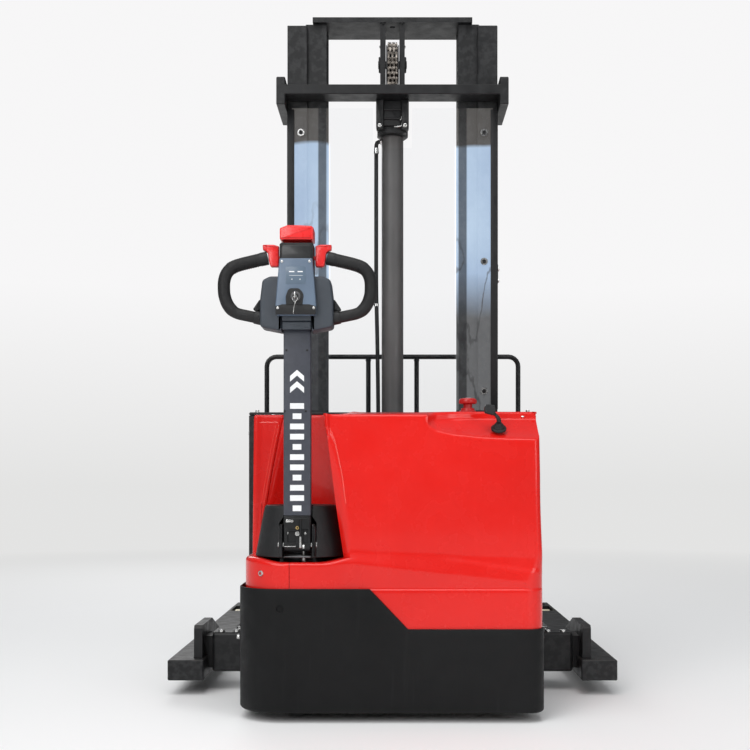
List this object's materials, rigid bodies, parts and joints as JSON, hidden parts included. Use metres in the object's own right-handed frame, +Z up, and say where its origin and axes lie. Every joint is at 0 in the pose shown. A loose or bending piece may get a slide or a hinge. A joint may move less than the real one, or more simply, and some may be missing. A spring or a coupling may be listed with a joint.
{
  "type": "walkie stacker",
  "caption": "Pedestrian electric stacker: straddle legs, two-stage mast with central lift cylinder and chain, forks, steered drive wheel and upright tiller arm with grip loops.",
  "frame": {"origin": "on the floor, in the middle of the truck's overall length and width", "axes": "+Z up, +Y towards the forks, +X to the right of the operator, who stands on the -Y side"},
  "size_m": [1.336, 1.9666, 2.106],
  "materials": {
    "hood_red": "glossy",
    "cover_black": "satin",
    "frame_black": "satin powder coat",
    "tiller_grey": "satin",
    "panel_blue": "satin",
    "button_red": "glossy",
    "collar_red": "satin",
    "rubber_black": "matte",
    "clear_sheet": "clear polycarbonate",
    "bright_steel": "machined",
    "piston_chrome": "polished",
    "cast_metal": "cast",
    "controller_alu": "anodised",
    "battery_case": "matte",
    "chain_steel": "oiled",
    "cylinder_grey": "satin",
    "tyre_dark": "matte",
    "tyre_cream": "satin polyurethane"
  },
  "bodies": {
    "chassis": {"chassis_frame": "frame_black", "battery_cover": "frame_black", "battery": "battery_case", "hood": "hood_red", "corner_cover": "hood_red", "lower_skirt": "cover_black", "cross_tube": "frame_black", "mast_channel_left": "frame_black", "mast_channel_right": "frame_black", "mast_crossmember": "frame_black", "mast_foot": "frame_black", "guard_shield": "clear_sheet", "lift_cylinder": "cylinder_grey", "cylinder_clamp": "frame_black", "hydraulic_hose": "rubber_black", "pump_unit": "cast_metal", "motor_controller": "controller_alu", "estop_collar": "collar_red", "lever_boot": "rubber_black", "chain_rear_run": "chain_steel"},
    "steering": {"drive_gearbox": "cast_metal", "traction_motor": "cast_metal", "cone_cover": "cover_black", "tiller_bracket": "frame_black", "gas_spring": "bright_steel", "tiller_pin": "bright_steel"},
    "drive_wheel": {"drive_wheel": "tyre_dark"},
    "tiller": {"tiller_arm": "tiller_grey", "head_shroud": "tiller_grey", "head_neck": "cover_black", "control_panel": "panel_blue", "handle_left": "rubber_black", "handle_right": "rubber_black"},
    "throttle": {"throttle_left": "button_red", "throttle_right": "button_red"},
    "belly_button": {"belly_button": "button_red"},
    "key": {"key": "bright_steel"},
    "estop_button": {"estop_button": "button_red"},
    "valve_lever": {"valve_lever": "cover_black"},
    "inner_mast": {"inner_channel_left": "frame_black", "inner_channel_right": "frame_black", "inner_top_plate": "frame_black", "piston_rod": "piston_chrome", "chain_wrap": "chain_steel", "chain_front_run": "chain_steel"},
    "sheave": {"chain_sheave": "cast_metal"},
    "carriage": {"carriage_frame": "frame_black", "load_backrest": "frame_black"},
    "roller_left_lower": {"roller_left_lower": "bright_steel"},
    "roller_left_upper": {"roller_left_upper": "bright_steel"},
    "roller_right_lower": {"roller_right_lower": "bright_steel"},
    "roller_right_upper": {"roller_right_upper": "bright_steel"},
    "fork_left": {"fork_left": "frame_black"},
    "fork_right": {"fork_right": "frame_black"},
    "leg_left": {"leg_left": "frame_black"},
    "leg_right": {"leg_right": "frame_black"},
    "load_wheel_left": {"load_wheel_left": "tyre_cream"},
    "load_wheel_right": {"load_wheel_right": "tyre_cream"},
    "caster": {"caster_fork": "frame_black"},
    "caster_wheel": {"caster_wheel": "tyre_dark"}
  },
  "joints": [
    {"name": "steering", "type": "hinge", "parent": "chassis", "child": "steering", "pos_m": [-0.252, -0.78275, 0.33], "axis": [0, 0, -1], "range_deg": [-90, 90]},
    {"name": "drive_wheel_spin", "type": "hinge", "parent": "steering", "child": "drive_wheel", "pos_m": [-0.252, -0.78275, 0.11], "axis": [1, 0, 0], "continuous": true},
    {"name": "tiller_tilt", "type": "hinge", "parent": "steering", "child": "tiller", "pos_m": [-0.252, -0.88875, 0.47], "axis": [1, 0, 0], "range_deg": [0, 80]},
    {"name": "throttle_turn", "type": "hinge", "parent": "tiller", "child": "throttle", "pos_m": [-0.252, -0.89675, 1.2295], "axis": [1, 0, 0], "range_deg": [-35, 35], "stiffness_Nm_per_rad": 0.3},
    {"name": "belly_button_press", "type": "slide", "parent": "tiller", "child": "belly_button", "axis": [0, 0, -1], "range_m": [0, 0.006], "stiffness_N_per_m": 900},
    {"name": "key_turn", "type": "hinge", "parent": "tiller", "child": "key", "pos_m": [-0.252, -0.95275, 1.1205], "axis": [0, 1, 0], "range_deg": [0, 90]},
    {"name": "estop_press", "type": "slide", "parent": "chassis", "child": "estop_button", "axis": [0, 0, -1], "range_m": [0, 0.006], "stiffness_N_per_m": 1500},
    {"name": "valve_lever_tilt", "type": "hinge", "parent": "chassis", "child": "valve_lever", "pos_m": [0.284, -0.8837, 0.80181], "axis": [1, 0, 0], "range_deg": [-15, 15], "stiffness_Nm_per_rad": 0.5},
    {"name": "lift", "type": "slide", "parent": "chassis", "child": "inner_mast", "axis": [0, 0, 1], "range_m": [0, 1.4], "deforming": ["chain_rear_run"]},
    {"name": "sheave_spin", "type": "hinge", "parent": "inner_mast", "child": "sheave", "pos_m": [0, -0.25875, 1.972], "axis": [1, 0, 0], "range_deg": [-5, 1300]},
    {"name": "carriage_lift", "type": "slide", "parent": "inner_mast", "child": "carriage", "axis": [0, 0, 1], "range_m": [0, 1.4], "deforming": ["chain_front_run"]},
    {"name": "roller_left_lower_spin", "type": "hinge", "parent": "carriage", "child": "roller_left_lower", "pos_m": [-0.235, -0.24625, 0.15], "axis": [1, 0, 0], "range_deg": [-5, 2235]},
    {"name": "roller_left_upper_spin", "type": "hinge", "parent": "carriage", "child": "roller_left_upper", "pos_m": [-0.235, -0.24625, 0.4], "axis": [1, 0, 0], "range_deg": [-2235, 5]},
    {"name": "roller_right_lower_spin", "type": "hinge", "parent": "carriage", "child": "roller_right_lower", "pos_m": [0.235, -0.24625, 0.15], "axis": [1, 0, 0], "range_deg": [-5, 2235]},
    {"name": "roller_right_upper_spin", "type": "hinge", "parent": "carriage", "child": "roller_right_upper", "pos_m": [0.235, -0.24625, 0.4], "axis": [1, 0, 0], "range_deg": [-2235, 5]},
    {"name": "fork_left_shift", "type": "slide", "parent": "carriage", "child": "fork_left", "axis": [1, 0, 0], "range_m": [-0.06, 0.15]},
    {"name": "fork_right_shift", "type": "slide", "parent": "carriage", "child": "fork_right", "axis": [1, 0, 0], "range_m": [-0.15, 0.06]},
    {"name": "leg_left_shift", "type": "slide", "parent": "chassis", "child": "leg_left", "axis": [1, 0, 0], "range_m": [-0.08, 0.012]},
    {"name": "leg_right_shift", "type": "slide", "parent": "chassis", "child": "leg_right", "axis": [1, 0, 0], "range_m": [-0.012, 0.08]},
    {"name": "load_wheel_left_spin", "type": "hinge", "parent": "leg_left", "child": "load_wheel_left", "pos_m": [-0.6145, 0.76625, 0.051], "axis": [1, 0, 0], "continuous": true},
    {"name": "load_wheel_right_spin", "type": "hinge", "parent": "leg_right", "child": "load_wheel_right", "pos_m": [0.6145, 0.76625, 0.051], "axis": [1, 0, 0], "continuous": true},
    {"name": "caster_swivel", "type": "hinge", "parent": "chassis", "child": "caster", "pos_m": [0.26, -0.78375, 0.175], "axis": [0, 0, 1], "continuous": true},
    {"name": "caster_wheel_spin", "type": "hinge", "parent": "caster", "child": "caster_wheel", "pos_m": [0.26, -0.73875, 0.062], "axis": [1, 0, 0], "continuous": true}
  ],
  "couplings": [
    {"joint": "carriage_lift", "follows": "lift", "ratio": 1},
    {"joint": "sheave_spin", "follows": "lift", "rad_per_m": 16.129},
    {"joint": "roller_left_lower_spin", "follows": "lift", "rad_per_m": 27.778},
    {"joint": "roller_left_upper_spin", "follows": "lift", "rad_per_m": -27.778},
    {"joint": "roller_right_lower_spin", "follows": "lift", "rad_per_m": 27.778},
    {"joint": "roller_right_upper_spin", "follows": "lift", "rad_per_m": -27.778}
  ]
}
